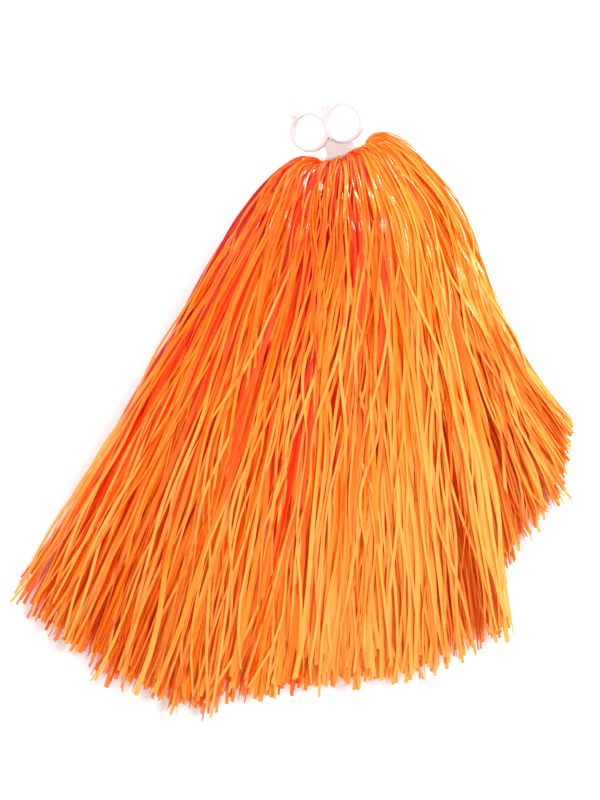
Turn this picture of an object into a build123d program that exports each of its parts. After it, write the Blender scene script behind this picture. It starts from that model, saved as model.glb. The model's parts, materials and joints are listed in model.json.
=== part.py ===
from build123d import *

import os
from math import sqrt

# Cheer pom pom: a hank of plastic strips folded over an anchor bar in a two-finger ring
# handle, lying on its back with the strips fanned out. Millimetres, +Z up, +Y towards the
# rings. The origin is on the surface it rests on, below the neck, where the strips leave
# the handle.

# --- handle ---
neck = (2.6, 2.2, 36)  # middle of the anchor bar
handle_tilt = 13  # degrees that the handle turns to the left, seen from above
handle_yaw = 22  # degrees that it turns about its own length
handle_lean = 8  # degrees that the rings stand up from flat

bore_radius = 10.8
ring_wall = 2.1
ring_width = 7.5
ring_middle_x = -4.4  # the wall that both rings share, beside the middle of the stem
ring_middle_y = 20  # ring centres above the bar
waist_fillet = 1.6  # where the two rings meet
rim_fillet = 0.6

stem_width = 18.3
stem_thickness = 2.6
stem_top = 12  # the stem ends inside the ring walls

bar_radius = 1.5
bar_length = 28
bar_clearance = 0.06  # radial, a running fit
bar_chamfer = 0.3
barrel_radius = 3.1

# --- hank and its tie ---
hank_half_width = 17
hank_half_depth = 8
hank_top = 5  # below the bar
hank_bottom = 28
ear_radius = 3.1  # strips looped over the ends of the bar
ear_gap = 0.45  # beside the stem
ear_inner_x = stem_width / 2 + ear_gap
ear_length = 5
ear_overlap = 1  # the strips under an ear run this far into the hank

tie_top = 9  # below the bar
tie_width = 4.6
tie_thickness = 1.3
tie_clearance = 0.02  # around the hank
tie_head = 6.5
tie_head_height = 4.6
tie_head_corner = 0.8
tie_head_proud = 0.5  # the head stands past the band on each side
tie_tail = 9
tie_tail_drop = 0.4  # the tail's middle behind the head's middle

# --- hang card and its pin ---
card_width = 45.8
card_height = 10.4
card_thickness = 0.5
card_corner = 2
card_middle_x = -6
card_top = 41.4  # above the bar
card_behind = 5.4  # front of the card behind the middle of the rings
card_hole_radius = 1
card_hole_up = 2.4  # above the lower edge of the card

pin_radius = 0.45
pin_bar_length = 9
pin_front = 4.7  # middle of the pin's cross bar behind the middle of the rings
pin_back = 8.5
pin_bend = 2
pin_end = (-9, -5)  # its buried end: along the handle, and behind the bar

# --- shoulder of the strips, around the neck ---
gap = 0.6  # between neighbours
position_tolerance = 0.05  # for finding edges by their place
skirt_start = 60  # from the bar to where the skirt starts
crown_half = 24  # half the width of the middle shoulder pieces
crown_height = 76
crown_roof = 52  # underside of the strips that pass over the neck
crown_floor = 20  # top of the strips that pass under it
crown_front_back = 32  # the middle piece starts this far from the bar
crown_foot = 4  # the strips under the neck reach this far past the bar
crown_left_height = 62
crown_right_height = 66
crown_fillet = 11

# --- skirt ---
lock_count = 5  # locks of the front fan, in each of its two layers
fan_near = (-77, 62)  # left and right edge of the fan where it starts
fan_far = (-205, 110)  # and at its tips
tip_arc_centre = (-37, -134)
tip_arc_radius = 222
lower_short = 5  # lower tips end this much before the upper ones

side_near = (63.5, 78, 92.5)  # edges of the two side locks where they start
side_far = ((114, -250), (145, -216), (153.5, -168))

lower_near_height = 36
lower_far_height = 14
layer_gap = 0.8
upper_near_height = 70
upper_far_height = 29
side_lift = 0.5
side_near_height = 46
side_far_height = 22
near_gap = 1.2
far_gap = 10
side_far_gap = 4

os.makedirs("parts", exist_ok=True)

# --- planes of the handle ---
hank_plane = Plane(origin=neck).rotated((handle_tilt, -handle_yaw, 0), Intrinsic.ZYX)
handle_plane = Plane(origin=neck).rotated((handle_tilt, -handle_yaw, handle_lean), Intrinsic.ZYX)
bar_plane = Plane(origin=neck, x_dir=handle_plane.y_dir, z_dir=handle_plane.x_dir)
ear_plane = Plane(origin=neck, x_dir=hank_plane.y_dir, z_dir=hank_plane.x_dir)
hank_section = Plane(origin=neck, x_dir=hank_plane.x_dir, z_dir=-hank_plane.y_dir)

ring_outer = bore_radius + ring_wall
ring_pitch = 2 * bore_radius + ring_wall
ring_centres = [
    (ring_middle_x - ring_pitch / 2, ring_middle_y),
    (ring_middle_x + ring_pitch / 2, ring_middle_y),
]


# Two finger rings that share a wall, a flat stem, and the barrel that turns on the bar.
with BuildPart() as ring_handle:
    with BuildSketch(handle_plane.offset(-ring_width / 2)) as outline:
        with Locations(*ring_centres):
            Circle(ring_outer)
        waist = outline.vertices().sort_by(Axis.Y)
        fillet(waist, radius=waist_fillet)
        with Locations(*ring_centres):
            Circle(bore_radius, mode=Mode.SUBTRACT)
    extrude(amount=ring_width)
    rims = ring_handle.edges().filter_by(
        lambda edge: abs(abs(handle_plane.to_local_coords(edge.center()).Z) - ring_width / 2)
        < position_tolerance
    )
    fillet(rims, radius=rim_fillet)
    with BuildSketch(handle_plane.offset(-stem_thickness / 2)):
        with Locations((0, stem_top / 2)):
            Rectangle(stem_width, stem_top)
        with Locations(*ring_centres):
            Circle(bore_radius + ring_wall / 2, mode=Mode.SUBTRACT)
    extrude(amount=stem_thickness)
    with BuildSketch(bar_plane.offset(-stem_width / 2)):
        Circle(barrel_radius)
    extrude(amount=stem_width)
    with BuildSketch(bar_plane.offset(-stem_width)):
        Circle(bar_radius + bar_clearance)
    extrude(amount=2 * stem_width, mode=Mode.SUBTRACT)
ring_handle.part.label = "ring_handle"
export_step(ring_handle.part, "parts/ring_handle.step")


# The rod that the hank is folded over, and that the handle turns on.
with BuildPart() as anchor_bar:
    with BuildSketch(bar_plane.offset(-bar_length / 2)):
        Circle(bar_radius)
    extrude(amount=bar_length)
    chamfer(anchor_bar.edges(), length=bar_chamfer)
anchor_bar.part.label = "anchor_bar"
export_step(anchor_bar.part, "parts/anchor_bar.step")


# The bound hank below the bar, with the two loops of strips around the bar's ends.
with BuildPart() as hank_core:
    with BuildSketch(hank_section.offset(hank_top)):
        Ellipse(hank_half_width, hank_half_depth)
    extrude(amount=hank_bottom - hank_top)
    for start in (ear_inner_x, -ear_inner_x - ear_length):
        with BuildSketch(ear_plane.offset(start)):
            Circle(ear_radius)
            with Locations((-(hank_top + ear_overlap) / 2, 0)):
                Rectangle(hank_top + ear_overlap, 2 * ear_radius)
        extrude(amount=ear_length)
hank_core.part.label = "hank_core"
export_step(hank_core.part, "parts/hank_core.step")


# The tie around the hank: its band, its head at the back, and the cut tail.
with BuildPart() as cable_tie:
    with BuildSketch(hank_section.offset(tie_top)):
        Ellipse(hank_half_width + tie_thickness, hank_half_depth + tie_thickness)
        Ellipse(
            hank_half_width + tie_clearance,
            hank_half_depth + tie_clearance,
            mode=Mode.SUBTRACT,
        )
    extrude(amount=tie_width)
    head_middle = hank_half_depth + tie_thickness / 2 + tie_head_height / 2
    with BuildSketch(hank_section.offset(tie_top - tie_head_proud)):
        with Locations((0, -head_middle)):
            RectangleRounded(tie_head, tie_head_height, tie_head_corner)
    extrude(amount=tie_width + 2 * tie_head_proud)
    with BuildSketch(hank_section.offset(tie_top)):
        with Locations((tie_tail / 2 + tie_head / 4, -head_middle - tie_tail_drop)):
            Rectangle(tie_tail + tie_head / 2, tie_thickness)
    extrude(amount=tie_width)
cable_tie.part.label = "cable_tie"
export_step(cable_tie.part, "parts/cable_tie.step")


# A plain card behind the rings, with the hole for its pin.
card_hole = (ring_middle_x, card_top - card_height + card_hole_up)
with BuildPart() as hang_card:
    with BuildSketch(handle_plane.offset(-card_behind - card_thickness)):
        with Locations((card_middle_x, card_top - card_height / 2)):
            RectangleRounded(card_width, card_height, card_corner)
        with Locations(card_hole):
            Circle(card_hole_radius, mode=Mode.SUBTRACT)
    extrude(amount=card_thickness)
hang_card.part.label = "hang_card"
export_step(hang_card.part, "parts/hang_card.step")


# The pin: a cross bar in front of the card, and a filament that runs down into the hank.
pin_route = [
    (card_hole[0], card_hole[1], -pin_front),
    (card_hole[0], card_hole[1], -pin_back),
    (card_hole[0], *pin_end),
]
pin_points = [handle_plane.from_local_coords(Vector(*point)) for point in pin_route]
pin_start_plane = Plane(origin=pin_points[0], x_dir=handle_plane.x_dir, z_dir=-handle_plane.z_dir)
pin_bar_plane = Plane(origin=pin_points[0], x_dir=handle_plane.x_dir, z_dir=handle_plane.y_dir)
with BuildPart() as tag_pin:
    with BuildLine():
        FilletPolyline(*pin_points, radius=pin_bend)
    with BuildSketch(pin_start_plane):
        Circle(pin_radius)
    sweep()
    with BuildSketch(pin_bar_plane.offset(-pin_bar_length / 2)):
        Circle(pin_radius)
    extrude(amount=pin_bar_length)
tag_pin.part.label = "tag_pin"
export_step(tag_pin.part, "parts/tag_pin.step")


# Shoulder of the strips: five closed pieces around the neck.
def shoulder(name, outline, low, high, rounded):
    """A block of strips on a plan outline. The upper edges on the sides listed are rounded."""
    with BuildPart() as block:
        with BuildSketch(Plane.XY.offset(low)):
            with BuildLine():
                Polyline(*outline, close=True)
            make_face()
        extrude(amount=high - low)
        if rounded:
            top = block.faces().sort_by(Axis.Z)[-1]
            edges = [edge for edge in top.edges() if any(near_side(edge, side) for side in rounded)]
            fillet(edges, radius=crown_fillet)
    block.part.label = name
    export_step(block.part, f"parts/{name}.step")


def near_side(edge, side):
    """True if the edge runs between these two plan points."""
    middle = Vector((side[0][0] + side[1][0]) / 2, (side[0][1] + side[1][1]) / 2)
    return (Vector(edge.center().X, edge.center().Y) - middle).length < position_tolerance


def middle_outline(back, front):
    return [(-crown_half, back), (crown_half, back), (crown_half, front), (-crown_half, front)]


crown_start = -(skirt_start - gap)
crown_edge = crown_half + gap
left_outline = [(-crown_edge, -8), (-28, -7), (-47, -15), (-66, -36), (-77, crown_start)]
right_outline = [(crown_edge, -2), (crown_edge, 7), (31, 18), (50, 2), (84, -38), (92, crown_start)]
left_sides = list(zip(left_outline, left_outline[1:]))
right_sides = list(zip(right_outline[1:], right_outline[2:]))
roof_outline = middle_outline(-2, crown_start)
shoulder("crown_top", roof_outline, crown_roof, crown_height, [roof_outline[0:2]])
shoulder("crown_bottom", middle_outline(crown_foot, crown_start), 0, crown_floor, [])
shoulder(
    "crown_front",
    middle_outline(-crown_front_back, crown_start),
    crown_floor + gap,
    crown_roof - gap,
    [],
)
shoulder(
    "crown_left",
    [*left_outline, (-crown_edge, crown_start)],
    0,
    crown_left_height,
    left_sides,
)
shoulder(
    "crown_right",
    [*right_outline, (crown_edge, crown_start)],
    0,
    crown_right_height,
    right_sides,
)


# Skirt: each lock is a taper from an upright face near the shoulder to one at its tips.
def face_plane(left, right):
    """An upright plane through two plan points, with its origin midway on the floor."""
    across = Vector(right[0] - left[0], right[1] - left[1])
    origin = ((left[0] + right[0]) / 2, (left[1] + right[1]) / 2, 0)
    return Plane(origin=origin, x_dir=across, z_dir=across.cross(Vector(0, 0, 1)))


def width_between(left, right):
    return sqrt((right[0] - left[0]) ** 2 + (right[1] - left[1]) ** 2)


def lock(name, near, far, near_heights, far_heights, gaps):
    """One lock of strips. near and far are pairs of plan points, heights run low to high."""
    with BuildPart() as taper:
        for ends, heights, space in ((near, near_heights, gaps[0]), (far, far_heights, gaps[1])):
            low, high = heights
            with BuildSketch(face_plane(*ends)):
                with Locations((0, (low + high) / 2)):
                    Rectangle(width_between(*ends) - space, high - low)
        loft(ruled=True)
    taper.part.label = name
    export_step(taper.part, f"parts/{name}.step")


def tip_point(x, radius):
    """The point of the tip outline at this x."""
    across = x - tip_arc_centre[0]
    return (x, tip_arc_centre[1] - sqrt(radius**2 - across**2))


def edge_at(limits, number):
    """The x of one of the lines between the locks of the fan, counted from the left."""
    return limits[0] + (limits[1] - limits[0]) * number / lock_count


for number in range(lock_count):
    near = [(edge_at(fan_near, edge), -skirt_start) for edge in (number, number + 1)]
    lower_far = [
        tip_point(edge_at(fan_far, edge), tip_arc_radius - lower_short)
        for edge in (number, number + 1)
    ]
    upper_far = [tip_point(edge_at(fan_far, edge), tip_arc_radius) for edge in (number, number + 1)]
    lock(
        f"lower_lock_{number + 1}",
        near,
        lower_far,
        (0, lower_near_height),
        (0, lower_far_height),
        (near_gap, near_gap),
    )
    lock(
        f"upper_lock_{number + 1}",
        near,
        upper_far,
        (lower_near_height + layer_gap, upper_near_height),
        (lower_far_height + layer_gap, upper_far_height),
        (near_gap, far_gap),
    )

for number in range(len(side_near) - 1):
    lock(
        f"side_lock_{number + 1}",
        [(x, -skirt_start) for x in side_near[number : number + 2]],
        side_far[number : number + 2],
        (side_lift, side_near_height),
        (side_lift, side_far_height),
        (near_gap, side_far_gap),
    )
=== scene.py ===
import json
import math

import bpy
import numpy as np
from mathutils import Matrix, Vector


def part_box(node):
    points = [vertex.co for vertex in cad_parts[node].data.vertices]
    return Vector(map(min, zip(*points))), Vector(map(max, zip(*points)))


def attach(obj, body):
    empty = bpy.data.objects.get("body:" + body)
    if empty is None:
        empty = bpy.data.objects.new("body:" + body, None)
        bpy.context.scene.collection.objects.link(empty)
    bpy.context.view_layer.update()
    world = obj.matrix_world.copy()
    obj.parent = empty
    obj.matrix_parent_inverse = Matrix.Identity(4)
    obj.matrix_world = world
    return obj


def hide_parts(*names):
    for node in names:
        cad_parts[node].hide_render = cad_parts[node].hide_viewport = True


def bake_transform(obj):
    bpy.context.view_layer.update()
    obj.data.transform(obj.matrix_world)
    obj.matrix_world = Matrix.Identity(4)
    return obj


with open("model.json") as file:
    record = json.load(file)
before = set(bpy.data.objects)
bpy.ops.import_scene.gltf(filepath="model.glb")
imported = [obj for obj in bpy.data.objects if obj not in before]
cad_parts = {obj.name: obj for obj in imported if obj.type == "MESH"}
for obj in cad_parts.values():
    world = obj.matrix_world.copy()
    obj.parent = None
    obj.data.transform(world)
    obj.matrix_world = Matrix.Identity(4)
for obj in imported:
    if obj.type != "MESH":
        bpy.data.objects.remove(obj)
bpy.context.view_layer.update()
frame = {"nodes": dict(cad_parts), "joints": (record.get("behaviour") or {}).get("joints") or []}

# A cheer pom pom: glossy plastic strips that spring from a tied hank in a two-ring handle.
# Every strip is one closed ribbon from the tie to its square-cut tip. Metres, in the part's frame.
MM = 0.001
rng = np.random.default_rng(41)

# --- places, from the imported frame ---
joints = {joint["name"]: joint for joint in frame["joints"]}
bar_middle = np.array(joints["handle_swing"]["pos_m"])
bar_axis = np.array(joints["handle_swing"]["axis"])
hank_back = np.cross((0.0, 0.0, 1.0), bar_axis)  # along the hank, towards the rings
hank_back /= np.linalg.norm(hank_back)
hank_front = np.cross(bar_axis, hank_back)  # through the hank's depth, upwards
skirt_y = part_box("lower_lock_3")[1].y  # the shoulder ends and the skirt starts here
near_left_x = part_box("crown_left")[0].x
near_right_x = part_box("crown_right")[1].x
near_top_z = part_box("upper_lock_3")[1].z

# --- strips ---
STRIP_WIDTH = 3.1 * MM
STRIP_THICKNESS = 0.12 * MM
PAINTED_LIGHT_TIP = 0.90  # painted light: how much a strip's tone rises towards its tip
PAINTED_LIGHT_TIP_POWER = 1.9
HANK_HALF_WIDTH = 16.0 * MM
HANK_HALF_DEPTH = 7.2 * MM
TIED_AT = 16 * MM  # strips start inside the tie, this far below the bar
SAMPLES_PER_SPAN = 4  # cross sections of a strip between two control points
SKIRT_POINTS = 8  # control points of a strip beyond the shoulder
UPPER_COUNT = 190  # strips in each lock
LOWER_COUNT = 150
SIDE_COUNT = 130
BETWEEN_COUNT = 90


# ---------------------------------------------------------------- camera, floor and light
def make_camera():
    """Straight above the pile, with the rings at the top of the picture."""
    lens = 85
    sensor = 36
    picture_height = 0.512
    middle = Vector((-0.0243, -0.1549, 0.040))
    data = bpy.data.cameras.new("camera")
    data.lens = lens
    data.sensor_width = sensor
    camera = bpy.data.objects.new("camera", data)
    camera.location = middle + Vector((0, 0, picture_height * lens / sensor))
    bpy.context.collection.objects.link(camera)
    bpy.context.scene.camera = camera


def make_light(name, place, target, size, power):
    """A round white area light that is aimed at a point."""
    data = bpy.data.lights.new(name, "AREA")
    data.shape = "DISK"
    data.size = size
    data.energy = power
    light = bpy.data.objects.new(name, data)
    light.location = place
    aim = Vector(target) - Vector(place)
    light.rotation_mode = "QUATERNION"
    light.rotation_quaternion = aim.to_track_quat("-Z", "Y")
    bpy.context.collection.objects.link(light)


def make_world():
    """Even white light from all around."""
    world = bpy.data.worlds.new("world")
    bpy.context.scene.world = world
    world.use_nodes = True
    background = world.node_tree.nodes["Background"]
    background.inputs["Color"].default_value = (1, 1, 1, 1)
    background.inputs["Strength"].default_value = 1.0


make_camera()
make_world()
make_light("key", place=(0.50, 0.00, 1.5), target=(0, -0.18, 0), size=0.5, power=16)
make_light("rim", place=(0.45, 1.05, 0.45), target=(0.02, -0.05, 0.05), size=0.3, power=20)
bpy.context.scene.view_settings.view_transform = "Standard"


# ---------------------------------------------------------------- materials
def new_material(name):
    """A material with only a Principled shader; returns it with its tree and shader."""
    material = bpy.data.materials.new(name)
    material.use_nodes = True
    tree = material.node_tree
    return material, tree, tree.nodes["Principled BSDF"]


def grey(level):
    """A colour with this level in each channel."""
    return (level,) * 3


def ramp(tree, factor, stops):
    """A colour ramp over these (position, colour) stops, driven by a socket."""
    node = tree.nodes.new("ShaderNodeValToRGB")
    elements = node.color_ramp.elements
    while len(elements) < len(stops):
        elements.new(0.5)
    for element, (position, colour) in zip(elements, stops):
        element.position = position
        element.color = (*colour, 1)
    tree.links.new(factor, node.inputs["Fac"])
    return node.outputs["Color"]


def noise(tree, vector, scale, detail=3):
    """Smooth noise between 0 and 1 over this place."""
    node = tree.nodes.new("ShaderNodeTexNoise")
    node.inputs["Scale"].default_value = scale
    node.inputs["Detail"].default_value = detail
    tree.links.new(vector, node.inputs["Vector"])
    return node.outputs["Fac"]


def object_coordinates(tree):
    return tree.nodes.new("ShaderNodeTexCoord").outputs["Object"]


def bump(tree, shader, height, strength, distance):
    """Roughens the shader's surface by this height."""
    node = tree.nodes.new("ShaderNodeBump")
    node.inputs["Strength"].default_value = strength
    node.inputs["Distance"].default_value = distance
    tree.links.new(height, node.inputs["Height"])
    tree.links.new(node.outputs["Normal"], shader.inputs["Normal"])


def math_node(tree, operation, first, second):
    """The result of a Math node; each operand is a number or a socket."""
    node = tree.nodes.new("ShaderNodeMath")
    node.operation = operation
    for socket, value in zip(node.inputs, (first, second)):
        if isinstance(value, (int, float)):
            socket.default_value = value
        else:
            tree.links.new(value, socket)
    return node.outputs[0]


def mottled_plastic(name, dark, light, roughness, scale, bump_distance):
    """A moulded plastic or board: faint cloudiness, uneven gloss and a fine surface grain."""
    grain_scale = scale * 12
    grain_strength = 0.35
    material, tree, shader = new_material(name)
    place = object_coordinates(tree)
    cloud = noise(tree, place, scale)
    grain = noise(tree, place, grain_scale, detail=5)
    colour = ramp(tree, cloud, [(0.3, dark), (0.7, light)])
    tree.links.new(colour, shader.inputs["Base Color"])
    smooth, rough = roughness
    gloss = ramp(tree, grain, [(0.3, grey(smooth)), (0.7, grey(rough))])
    tree.links.new(gloss, shader.inputs["Roughness"])
    bump(tree, shader, grain, grain_strength, bump_distance)
    return material, shader


def strip_material():
    """Glossy orange film. A strip's tone runs from 0, deep red, to 1, pale orange, and carries
    painted shade and painted light besides the film's own tones.
    """
    streak_contrast = 0.22  # how much the tone varies within a strip
    light_let_through = 0.35
    material, tree, shader = new_material("orange_film")
    tone = tree.nodes.new("ShaderNodeAttribute")
    tone.attribute_name = "strip_tone"
    place = tree.nodes.new("ShaderNodeAttribute")
    place.attribute_name = "strip_place"
    streak = noise(tree, place.outputs["Vector"], 1.0)
    streaked = math_node(tree, "MULTIPLY_ADD", streak, streak_contrast)
    tree.links.new(tone.outputs["Fac"], streaked.node.inputs[2])
    shade = math_node(tree, "SUBTRACT", streaked, streak_contrast / 2)
    colour = ramp(
        tree,
        shade,
        [
            (0.0, (0.54, 0.005, 0.003)),
            (0.12, (0.80, 0.012, 0.003)),
            (0.30, (0.94, 0.050, 0.004)),
            (0.60, (0.96, 0.190, 0.006)),
            (0.85, (0.96, 0.330, 0.016)),
            (1.0, (0.96, 0.460, 0.075)),
        ],
    )
    tree.links.new(colour, shader.inputs["Base Color"])
    gloss = ramp(tree, streak, [(0.3, grey(0.30)), (0.7, grey(0.45))])
    tree.links.new(gloss, shader.inputs["Roughness"])
    bump(tree, shader, streak, strength=0.25, distance=0.05 * MM)
    shader.inputs["Specular IOR Level"].default_value = 0.15
    shader.inputs["Coat Weight"].default_value = 0.6
    shader.inputs["Coat Roughness"].default_value = 0.09
    shader.inputs["Emission Color"].default_value = (1.0, 0.06, 0.0, 1)  # painted glow: a faint red light that lifts the shaded gaps between strips
    shader.inputs["Emission Strength"].default_value = 0.08

    glow = tree.nodes.new("ShaderNodeBsdfTranslucent")
    tree.links.new(colour, glow.inputs["Color"])
    mixed = tree.nodes.new("ShaderNodeMixShader")
    mixed.inputs["Fac"].default_value = light_let_through
    output = tree.nodes["Material Output"]
    tree.links.new(shader.outputs["BSDF"], mixed.inputs[1])
    tree.links.new(glow.outputs["BSDF"], mixed.inputs[2])
    tree.links.new(mixed.outputs["Shader"], output.inputs["Surface"])
    return material


def card_material():
    """White board, with painted shade greying it along its border."""
    painted_shade_width = 1.0 * MM
    card = np.array([vertex.co[:] for vertex in frame["nodes"]["hang_card"].data.vertices])
    up = np.array(np.cross(joints["card_swivel"]["axis"], bar_axis))
    material, shader = mottled_plastic(
        "white_board",
        dark=grey(0.70),
        light=grey(0.76),
        roughness=(0.45, 0.7),
        scale=90,
        bump_distance=0.04 * MM,
    )
    tree = material.node_tree
    place = object_coordinates(tree)
    inside = None
    for direction in (bar_axis, up):
        along = tree.nodes.new("ShaderNodeVectorMath")
        along.operation = "DOT_PRODUCT"
        along.inputs[1].default_value = direction
        tree.links.new(place, along.inputs[0])
        low, high = (card @ direction).min(), (card @ direction).max()
        offset = math_node(tree, "SUBTRACT", along.outputs["Value"], float(low + high) / 2)
        distance = math_node(tree, "ABSOLUTE", offset, 0.0)
        margin = math_node(tree, "SUBTRACT", float(high - low) / 2, distance)
        inside = margin if inside is None else math_node(tree, "MINIMUM", inside, margin)
    scaled = math_node(tree, "DIVIDE", inside, painted_shade_width)
    # Painted shade: the board greys within about a border width of its edge.
    border = ramp(tree, scaled, [(0.35, grey(0.74)), (0.95, grey(1))])
    cloud = shader.inputs["Base Color"].links[0].from_socket
    product = tree.nodes.new("ShaderNodeMix")
    product.data_type = "RGBA"
    product.blend_type = "MULTIPLY"
    product.inputs["Factor"].default_value = 1.0
    tree.links.new(cloud, product.inputs["A"])
    tree.links.new(border, product.inputs["B"])
    tree.links.new(product.outputs["Result"], shader.inputs["Base Color"])
    return material


def paint(node, material):
    """Gives a CAD node this material in all its slots."""
    slots = frame["nodes"][node].data.materials
    for index in range(len(slots)):
        slots[index] = material


def paint_cad_nodes():
    """Gives the pieces that are carried over from the CAD their materials."""
    # Off-white moulded plastic; its pink tint is a painted reflection of the orange strips.
    handle, shader = mottled_plastic(
        "moulded_white",
        dark=(0.62, 0.56, 0.555),
        light=(0.68, 0.63, 0.625),
        roughness=(0.28, 0.42),
        scale=60,
        bump_distance=0.05 * MM,
    )
    shader.inputs["Subsurface Weight"].default_value = 0.25
    shader.inputs["Subsurface Radius"].default_value = (0.004, 0.003, 0.003)
    paint("ring_handle", handle)
    paint("hang_card", card_material())
    nylon, _ = mottled_plastic(
        "natural_nylon",
        dark=(0.80, 0.78, 0.72),
        light=(0.88, 0.86, 0.80),
        roughness=(0.3, 0.45),
        scale=120,
        bump_distance=0.03 * MM,
    )
    paint("cable_tie", nylon)
    rod, _ = mottled_plastic(
        "white_rod",
        dark=grey(0.82),
        light=grey(0.90),
        roughness=(0.3, 0.5),
        scale=150,
        bump_distance=0.03 * MM,
    )
    paint("anchor_bar", rod)
    filament, _ = mottled_plastic(
        "clear_filament",
        dark=(0.84, 0.84, 0.86),
        light=(0.92, 0.92, 0.94),
        roughness=(0.15, 0.3),
        scale=200,
        bump_distance=0.02 * MM,
    )
    paint("tag_pin", filament)


def make_floor():
    """A pale plane just under the pile, for the picture only."""
    half = 3.0
    drop = 0.3 * MM
    mesh = bpy.data.meshes.new("floor")
    corners = [(-half, -half, 0), (half, -half, 0), (half, half, 0), (-half, half, 0)]
    mesh.from_pydata(corners, [], [(0, 1, 2, 3)])
    material, tree, shader = new_material("pale_floor")
    cloud = noise(tree, object_coordinates(tree), 4)
    colour = ramp(tree, cloud, [(0.3, grey(0.90)), (0.7, grey(0.93))])
    tree.links.new(colour, shader.inputs["Base Color"])
    shader.inputs["Roughness"].default_value = 0.8
    mesh.materials.append(material)
    floor = bpy.data.objects.new("floor", mesh)
    floor.location.z = -drop
    bpy.context.collection.objects.link(floor)


paint_cad_nodes()
make_floor()
orange_film = strip_material()


# ---------------------------------------------------------------- strip paths
def lock_corners(node):
    """Plan corners and heights of a lock's near and far face, read from its CAD mesh."""
    same_place = 0.2 * MM
    points = np.array([vertex.co[:] for vertex in frame["nodes"][node].data.vertices])
    start = points[points[:, 1] > skirt_y - same_place / 2]
    middle = start.mean(axis=0)[:2]
    along = points.mean(axis=0)[:2] - middle
    along /= np.linalg.norm(along)
    across = np.array((-along[1], along[0]))  # to the right, seen from above
    plan = points[:, :2] - middle
    ends = []
    for side in (-1, 1):
        corner = points[np.argmax(plan @ along + 2 * side * (plan @ across))]
        column = points[np.linalg.norm(points[:, :2] - corner[:2], axis=1) < same_place]
        ends.append((corner[:2], column[:, 2].min(), column[:, 2].max()))
    return {
        "near": (np.array((start[:, 0].min(), skirt_y)), np.array((start[:, 0].max(), skirt_y))),
        "near_heights": (start[:, 2].min(), start[:, 2].max()),
        "far": (ends[0][0], ends[1][0]),
        "far_heights": (ends[0][1], ends[0][2]),
        "along": along,
        "middle": middle,
    }


def mix(first, second, share):
    """first at share 0, second at share 1."""
    return first + (second - first) * share


def spline_weights(controls, samples):
    """Weights of a clamped cubic B-spline: one row for each sample, one column per control."""
    degree = 3
    inner = np.linspace(0, 1, controls - degree + 1)
    knots = np.concatenate([np.zeros(degree), inner, np.ones(degree)])
    t = np.linspace(0, 1 - 1e-9, samples)
    basis = ((knots[:-1] <= t[:, None]) & (t[:, None] < knots[1:])).astype(float)
    for power in range(1, degree + 1):
        rise_span = knots[power:-1] - knots[: -power - 1]
        fall_span = knots[power + 1 :] - knots[1:-power]
        rise = (t[:, None] - knots[: -power - 1]) / np.where(rise_span > 0, rise_span, 1)
        fall = (knots[power + 1 :] - t[:, None]) / np.where(fall_span > 0, fall_span, 1)
        basis = np.where(rise_span > 0, rise, 0) * basis[:, :-1] + (
            np.where(fall_span > 0, fall, 0) * basis[:, 1:]
        )
    return basis


# Shoulder control points between the neck and the skirt, in mm: plan places for strips at the
# left edge, the middle and the right edge of the pile, and heights for the top of the dome
# in the middle, the top at the edges, and the underside.
SHOULDER_LEFT = np.array([(-27, 1.5), (-46, -15), (-64, -43)]) * MM
SHOULDER_MIDDLE = np.array([(2, -2), (1, -15), (0, -40)]) * MM
SHOULDER_RIGHT = np.array([(27, 20), (50, 7), (81, -32)]) * MM
TOP_MIDDLE = np.array([47, 63, 78]) * MM
TOP_EDGE = np.array([42, 48, 50]) * MM
UNDERSIDE = np.array([18, 6, 3]) * MM
PLAN_SPREAD = np.array([(0.85, 0.9), (0.95, 1.5), (1.0, 1.7)])  # powers, across and along
EDGE_DROP = 0.36  # the pile is this much lower at its edges

# The fold of the hank over the bar: how far back it reaches, in mm.
FOLD_AT_CORE = -12  # in the middle of the hank, so below the bar
LEFT_TUFT = 4
RIGHT_TUFT = 8
UNDER_RINGS = 5  # held back, as room for the handle to swing

# How strips differ from each other. Layers run from 0 at the bottom of a lock to 1 at its top.
CLUMPS = 9  # neighbouring strips of a lock that lean together and share their tone
CLUMP_LEAN = 0.18  # of the lock's far width
SCATTER = 0.2  # of the lock's far width, of single strips
LAYERS = (0, 0.95)
LAYER_CHANGE = 0.14  # from the shoulder to the tip
LOWEST_TIP_LAYER = 0.02
UNEVEN_TIPS = 0.022  # of the lock's length
EDGE_FREEDOM = 0.2  # how much strips stray at the edge of the pile, against its middle
SKIRT_WANDER = np.array([3.0, 0.0, 1.2])  # of single control points, in mm
SHOULDER_STRAY = np.array([1.5, 1.6, 1.1])  # the same between the tie and the skirt
STRAY_ALONG = np.array([0.2, 0.35, 0.8, 1.2, 1.3])  # times that, from the tie to the skirt
STRIP_BEND = 4 * MM  # of a whole strip, to the left or right
WIDTH_RANGE = (0.85, 1.1)

# Loose strips: curled narrow, wavy, pale, and lying on the others.
LOOSE_SHARE = 0.18  # of all strips
LOOSE_SCATTER = 0.9
LOOSE_SPILL = 1.5  # times the lock's own
LOOSE_LAYERS = (0.90, 1.0)
LOOSE_LOWEST_TIP_LAYER = 0.6
LOOSE_WAVINESS = 1.7
LOOSE_WIDTH = 0.62

CLUMP_TONE = 0.10  # how much clumps differ in tone
STRIP_TONE = 0.10  # how much single strips do

# Tones across the pile, at these places from its left edge (-1) to its right edge (1); painted
# shade deepens the left edge and painted light pales the right side, for bed strips and loose
# ones.
TONE_AND_PAINTED_LIGHT_ACROSS = ((-1, -0.8, -0.6, 0.0, 0.4, 1), (-0.25, -0.08, 0.06, -0.04, 0.34, 0.58))
LOOSE_TONE_AND_PAINTED_LIGHT_ACROSS = ((-1, 0.1, 0.5, 1), (0.46, 0.52, 0.68, 0.80))


def dome(side):
    """1 in the middle of the pile, falling to nearly 0 at its edges, as an ellipse does."""
    return np.sqrt(1 - 0.98 * side**2)


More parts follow.
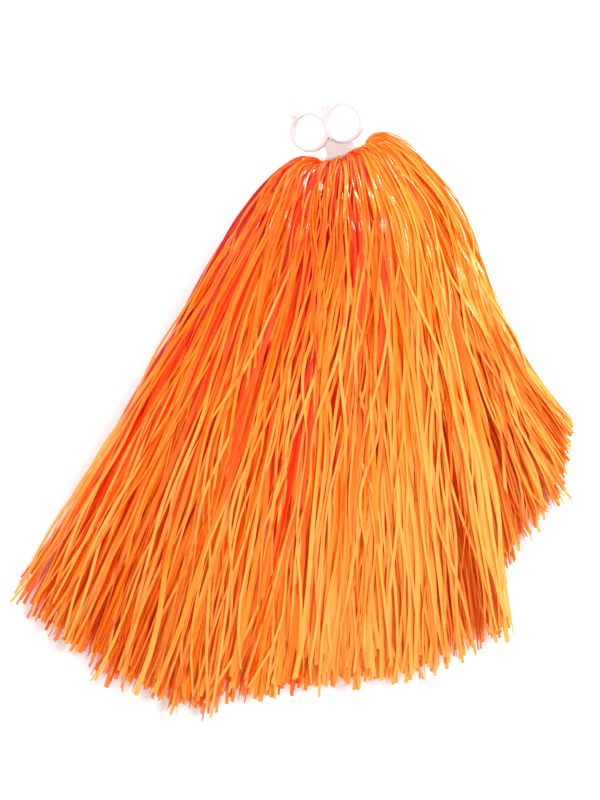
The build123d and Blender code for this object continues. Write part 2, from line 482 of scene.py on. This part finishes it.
def shoulder_points(side, height):
    """Control points from the tie to the skirt. side runs -1 to 1, height 0 to 1."""
    level = 2 * height - 1
    across = side * np.sqrt(1 - level**2 / 2)  # the square of strips, drawn in to a disc
    depth = level * np.sqrt(1 - side**2 / 2)
    radius = np.sqrt(across**2 + depth**2)
    in_hank = (
        bar_middle
        + across[:, None] * HANK_HALF_WIDTH * bar_axis
        + depth[:, None] * HANK_HALF_DEPTH * hank_front
    )
    tied = in_hank - TIED_AT * hank_back
    spread = mix(0.9, 1.05, radius)[:, None]
    # Each part grows from a place across the hank, in half widths, at its own rate.
    left_tuft = LEFT_TUFT * np.clip((-0.4 - across) * 4, 0, 1)
    right_tuft = RIGHT_TUFT * np.clip((across - 0.5) * 3, 0, 1)
    under_rings = UNDER_RINGS * np.clip(2 - np.abs(across + 0.35) * 6, 0, 1)
    at_rim = left_tuft + right_tuft - under_rings
    rise = mix(FOLD_AT_CORE, at_rim, radius**3)[:, None] * MM
    fold = bar_middle + (in_hank - bar_middle) * spread + rise * hank_back

    edge = np.where(side[:, None, None] < 0, SHOULDER_LEFT, SHOULDER_RIGHT)
    share = np.abs(side)[:, None, None] ** PLAN_SPREAD
    plan = SHOULDER_MIDDLE + (edge - SHOULDER_MIDDLE) * share
    top = mix(TOP_EDGE, TOP_MIDDLE, dome(side)[:, None])
    heights = mix(UNDERSIDE, top, height[:, None])
    over = np.concatenate([plan, heights[:, :, None]], axis=2)
    return np.concatenate([tied[:, None, :], fold[:, None, :], over], axis=1)


def folded_back(values, low, high):
    """Values past a limit come back inside it by as much as they passed it."""
    span = high - low
    return low + span - np.abs((values - low) % (2 * span) - span)


def strip_places(count, spill):
    """Where a lock's strips lie in it, as shares of its width and height at each end.

    Returns which strips are loose, their clumps, and their shares across and up at the near
    end and at the far end.
    """
    loose = rng.random(count) < LOOSE_SHARE
    near_share = rng.uniform(-spill[0], 1 + spill[0], count)
    clump = np.clip(near_share * CLUMPS, 0, CLUMPS - 1).astype(int)
    lean = np.where(loose, 0, rng.normal(0, CLUMP_LEAN, CLUMPS)[clump])
    scatter = rng.normal(0, 1, count) * np.where(loose, LOOSE_SCATTER, SCATTER)
    far_spill = spill[1] * np.where(loose, LOOSE_SPILL, 1)
    far_share = folded_back(near_share + lean + scatter, -far_spill, 1 + far_spill)
    loose_layer = rng.uniform(*LOOSE_LAYERS, count)
    layer = np.where(loose, loose_layer, rng.uniform(*LAYERS, count))
    far_layer = layer + rng.normal(0, LAYER_CHANGE, count)
    lowest = np.where(loose, LOOSE_LOWEST_TIP_LAYER, LOWEST_TIP_LAYER)
    far_layer = np.clip(far_layer, lowest, 1)
    return loose, clump, (near_share, layer), (far_share, far_layer)


def near_ends(corners, share, layer):
    """Where strips pass from the shoulder into the skirt, and their sides of the pile."""
    x = mix(corners["near"][0][0], corners["near"][1][0], share)
    side = np.where(x < 0, -x / near_left_x, x / near_right_x)
    side = np.clip(side, -1, 1)
    round_off = mix(1 - EDGE_DROP, 1, dome(side))
    z = mix(corners["near_heights"][0], corners["near_heights"][1] * round_off, layer)
    return np.stack([x, np.full(len(x), skirt_y), z], axis=1), side


def far_ends(corners, near, share, layer, reach):
    """The tips of these strips."""
    plan = mix(corners["far"][0], corners["far"][1], share[:, None])
    z = mix(*corners["far_heights"], layer)
    far = np.concatenate([plan, z[:, None]], axis=1)
    uneven = np.minimum(rng.normal(0, UNEVEN_TIPS, len(share)), 2 * UNEVEN_TIPS)
    length = mix(*reach, np.clip(share, 0, 1)) + uneven
    return near + (far - near) * length[:, None]


def strip_paths(near, far, side, loose, bow):
    """Control points from the tie to the tips, with each strip's own waves."""
    shoulder = shoulder_points(side, np.clip(near[:, 2] / near_top_z, 0, 1))
    steps = np.linspace(0, 1, SKIRT_POINTS)[None, :, None]
    skirt = near[:, None, :] + (far - near)[:, None, :] * steps
    waviness = np.where(loose, LOOSE_WAVINESS, 1.0)[:, None, None]
    freedom = mix(EDGE_FREEDOM, 1, dome(side))[:, None]
    wander = rng.normal(0, 1, skirt.shape) * SKIRT_WANDER * MM * waviness
    wander *= freedom[:, :, None]
    wander[:, 0] *= 0.5  # less where the shoulder ends
    bend = bow + rng.normal(0, STRIP_BEND, (len(side), 1)) * waviness[:, :, 0] * freedom
    wander[:, :, 0] += bend * np.sin(math.pi * steps[:, :, 0])
    stray = rng.normal(0, 1, shoulder.shape) * SHOULDER_STRAY * MM * waviness
    stray *= STRAY_ALONG[None, :, None]
    return np.concatenate([shoulder + stray, skirt + wander], axis=1)


def strip_tones(side, layer, clump, loose, layer_shade_and_light):
    """Painted shade and light from the place in the pile and from the strip's layer, then own
    tones by clump and by strip.
    """
    tone = np.interp(side, *TONE_AND_PAINTED_LIGHT_ACROSS) + mix(-layer_shade_and_light, layer_shade_and_light, layer)
    tone += rng.normal(0, CLUMP_TONE, CLUMPS)[clump]
    tone = np.where(loose, np.interp(side, *LOOSE_TONE_AND_PAINTED_LIGHT_ACROSS), tone)
    return tone + rng.normal(0, STRIP_TONE, len(tone))


def lock_strips(corners, count, spill, reach, layer_shade_and_light, bow=0.0):
    """Control points of a lock's strips, shape (count, points, 3), tones, widths and looseness.

    spill is how far strips pass the lock's edges at its near and far end, as shares of its
    width, and reach how long they are at its left and right edge, as shares of its length.
    The tone range argument is how much the lowest strips are deepened by painted shade and the
    highest paled by painted light, against those halfway up, and bow how far the lock bends to the
    right.
    """
    loose, clump, near_place, far_place = strip_places(count, spill)
    near, side = near_ends(corners, *near_place)
    far = far_ends(corners, near, *far_place, reach)
    controls = strip_paths(near, far, side, loose, bow)
    tone = strip_tones(side, near_place[1], clump, loose, layer_shade_and_light)
    width = STRIP_WIDTH * rng.uniform(*WIDTH_RANGE, count) * np.where(loose, LOOSE_WIDTH, 1)
    return controls, tone, width, loose


# ---------------------------------------------------------------- ribbons
PILE_AXIS_SHARE = 0.75  # how far out from the middle a strip's axis point lies, as a share
PILE_AXIS_BACK = 10 * MM  # how far it lies behind the point at the neck
PILE_AXIS_HEIGHT = (21.6 * MM, 12 * MM)  # at the neck and in the skirt
LOWEST_CENTRE = 1.2 * MM
LOWEST_EDGE = 0.2 * MM
POINT_TURN = 0.45  # radians a strip turns about itself at each control point
WHOLE_TURN = 0.7  # radians it turns in all, growing towards its tip
UNREST = 0.6  # times those turns, for most strips and for loose ones
LOOSE_UNREST = 1.2
TURNED_SHARE = 0.12  # of the strips: they show their back from some point on
TURN_POINTS = (4, 10)  # control points between which that point lies
NECK_WIDTH = 0.33  # strips are gathered in the tie to this share of their width
GATHERED_SPANS = 5  # spans from the tie until they have their full width
CUP = (0.01, 0.07)  # how deep a strip is cupped, as a share of its width
STREAK_ACROSS = (0.0, 1.5, 3.0, 1.5)  # places in the streak noise of a cross section's corners
STREAK_ALONG = 0.12  # from one cross section to the next
STREAK_APART = 7.3  # from one strip to the next


def unit(vectors):
    """These vectors at length 1."""
    return vectors / np.maximum(np.linalg.norm(vectors, axis=-1, keepdims=True), 1e-12)


def pile_axis(points):
    """For each point, the point inside the pile that its surface faces away from."""
    share = np.clip(points[..., 1] / skirt_y, 0, 1)
    x = points[..., 0] * PILE_AXIS_SHARE
    y = points[..., 1] + PILE_AXIS_BACK * (1 - share)
    z = mix(*PILE_AXIS_HEIGHT, share)
    return np.stack([x, y, z], axis=-1)


def ribbon_piece(name, controls, tone, width, loose):
    """One mesh of closed, slightly cupped ribbons that follow these control points."""
    count, points_each, _ = controls.shape
    samples = (points_each - 3) * SAMPLES_PER_SPAN + 1
    weights = spline_weights(points_each, samples)
    centre = np.einsum("sp,npc->nsc", weights, controls)
    centre[..., 2] = np.maximum(centre[..., 2], LOWEST_CENTRE)
    tangent = unit(np.gradient(centre, axis=1))
    outward = centre - pile_axis(centre)
    normal = unit(outward - np.sum(outward * tangent, axis=2, keepdims=True) * tangent)
    lateral = np.cross(tangent, normal)

    unrest = np.where(loose, LOOSE_UNREST, UNREST)[:, None]
    turns = rng.normal(0, POINT_TURN, (count, points_each)) * unrest
    growing = np.linspace(0.3, 1, points_each)
    turns += rng.normal(0, WHOLE_TURN, (count, 1)) * unrest * growing
    turned = rng.random(count) < TURNED_SHARE
    after = np.arange(points_each) > rng.integers(*TURN_POINTS, (count, 1))
    turns += turned[:, None] * math.pi * after
    roll = np.einsum("sp,np->ns", weights, turns)[..., None]
    normal, lateral = (
        np.cos(roll) * normal + np.sin(roll) * lateral,
        np.cos(roll) * lateral - np.sin(roll) * normal,
    )

    spread = np.clip(np.arange(samples) / (GATHERED_SPANS * SAMPLES_PER_SPAN), 0, 1)
    width = width[:, None, None] * mix(NECK_WIDTH, 1.0, spread[None, :, None])
    cup = rng.uniform(*CUP, (count, 1, 1)) * width
    half = STRIP_THICKNESS / 2
    ring = np.stack(
        [
            centre - lateral * width / 2,
            centre + normal * (cup + half),
            centre + lateral * width / 2,
            centre + normal * (cup - half),
        ],
        axis=2,
    )
    ring[..., 2] = np.maximum(ring[..., 2], LOWEST_EDGE)
    piece = bpy.data.objects.new(name, ribbon_mesh(name, ring, tone))
    bpy.context.collection.objects.link(piece)
    return piece


def ribbon_mesh(name, ring, tone):
    """Joins rings of four points, shape (strips, samples, 4, 3), into closed ribbons."""
    count, samples, around, _ = ring.shape
    first = np.arange(count)[:, None, None] * samples * around
    row = np.arange(samples - 1)[None, :, None] * around
    corner = np.arange(around)[None, None, :]
    a = first + row + corner
    b = first + row + (corner + 1) % around
    sides = np.stack([a, b, b + around, a + around], axis=-1).reshape(-1, 4)
    start = first[:, :, 0] + np.array([[3, 2, 1, 0]])
    end = first[:, :, 0] + (samples - 1) * around + np.array([[0, 1, 2, 3]])
    faces = np.concatenate([sides, start, end])

    mesh = bpy.data.meshes.new(name)
    mesh.vertices.add(count * samples * around)
    mesh.vertices.foreach_set("co", ring.astype(np.float32).ravel())
    mesh.loops.add(faces.size)
    mesh.loops.foreach_set("vertex_index", faces.astype(np.int32).ravel())
    mesh.polygons.add(len(faces))
    mesh.polygons.foreach_set("loop_start", np.arange(0, faces.size, 4, dtype=np.int32))
    mesh.update(calc_edges=True)
    mesh.polygons.foreach_set("use_smooth", np.ones(len(faces), bool))

    ends = np.zeros(len(mesh.edges) * 2, np.int32)
    mesh.edges.foreach_get("vertices", ends)
    ends = ends.reshape(-1, 2)
    rim = (ends[:, 0] % 2 == 0) & (ends[:, 1] % 2 == 0)
    lip = np.isin(ends // around % samples, (0, samples - 1)).all(axis=1)
    sharp = mesh.attributes.new("sharp_edge", "BOOLEAN", "EDGE")
    sharp.data.foreach_set("value", rim | lip)

    place = np.zeros((count, samples, around, 3), np.float32)
    place[..., 0] = STREAK_ACROSS
    place[..., 1] = np.arange(samples)[None, :, None] * STREAK_ALONG
    place[..., 2] = np.arange(count)[:, None, None] * STREAK_APART
    attribute = mesh.attributes.new("strip_place", "FLOAT_VECTOR", "POINT")
    attribute.data.foreach_set("vector", place.ravel())
    attribute = mesh.attributes.new("strip_tone", "FLOAT", "POINT")
    # Painted light: strips grow paler towards their tips, standing in for the brighter light on
    # the skirt.
    paler = PAINTED_LIGHT_TIP * (np.linspace(0, 1, samples) ** PAINTED_LIGHT_TIP_POWER)[None, :, None]
    tones = tone[:, None, None] + paler + np.zeros((1, 1, around))
    attribute.data.foreach_set("value", tones.astype(np.float32).ravel())
    mesh.materials.append(orange_film)
    return mesh


def lifted(piece):
    """Bakes the piece's placement into its mesh."""
    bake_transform(piece)


# CAD pieces of the neck whose strips belong to a lock's piece here.
crown_nodes = {
    "lower_lock_3": ["crown_bottom", "crown_front"],
    "upper_lock_3": ["crown_top"],
    "upper_lock_1": ["crown_left"],
    "upper_lock_5": ["hank_core"],
}

# Mean length of each lock's strips at its left and right edge, as shares of the CAD lock's.
FAN_REACH = ((1.000, 1.018), (1.012, 1.010), (0.968, 0.920), (0.928, 0.952), (0.965, 1.005))
SIDE_REACH = ((1.0, 1.0), (0.99, 0.99))
BETWEEN_REACH = (0.97, 0.97)
SIDE_BOW = (-2 * MM, -8 * MM)  # how far each side lock bends to the right
# How far strips pass their lock's edges, and how much painted shade deepens the lowest strips and
# painted light pales the highest.
LOWER_SPILL = (0.04, 0.03)
UPPER_SPILL = (0.06, 0.10)
SIDE_SPILL = (0.06, 0.06)
UPPER_LAYER_SHADE = 0.08
LOWER_LAYER_SHADE = 0.05

for number in range(1, 6):
    node = f"lower_lock_{number}"
    corners = lock_corners(node)
    reach = FAN_REACH[number - 1]
    strips = lock_strips(corners, LOWER_COUNT, LOWER_SPILL, reach, LOWER_LAYER_SHADE)
    piece = ribbon_piece(f"strips_lower_{number}", *strips)
    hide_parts(node, *crown_nodes.get(node, []))
    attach(piece, "root")

for number in range(1, 6):
    node = f"upper_lock_{number}"
    corners = lock_corners(node)
    reach = FAN_REACH[number - 1]
    strips = lock_strips(corners, UPPER_COUNT, UPPER_SPILL, reach, UPPER_LAYER_SHADE)
    piece = ribbon_piece(f"strips_upper_{number}", *strips)
    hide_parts(node, *crown_nodes.get(node, []))
    lifted(piece)

for number in range(1, 3):
    node = f"side_lock_{number}"
    corners = lock_corners(node)
    reach = SIDE_REACH[number - 1]
    bow = SIDE_BOW[number - 1]
    strips = lock_strips(corners, SIDE_COUNT, SIDE_SPILL, reach, LOWER_LAYER_SHADE, bow)
    piece = ribbon_piece(f"strips_side_{number}", *strips)
    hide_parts(node)
    lifted(piece)

# Strips that lie between the fan and the side locks, and don't lift. They reach a little under
# the locks on both sides.
under_fan_near = (12 * MM, 0)
under_fan_far = (10 * MM, 0)
under_side_far = (6 * MM, 0)
fan_edge = lock_corners("lower_lock_5")
side_edge = lock_corners("side_lock_1")
between = {
    "near": (fan_edge["near"][1] - under_fan_near, side_edge["near"][1]),
    "near_heights": (1 * MM, 30 * MM),
    "far": (fan_edge["far"][1] - under_fan_far, side_edge["far"][0] + under_side_far),
    "far_heights": (1 * MM, 14 * MM),
}
strips = lock_strips(between, BETWEEN_COUNT, (0, 0), BETWEEN_REACH, LOWER_LAYER_SHADE)
piece = ribbon_piece("strips_between", *strips)
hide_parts("crown_right")
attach(piece, "root")
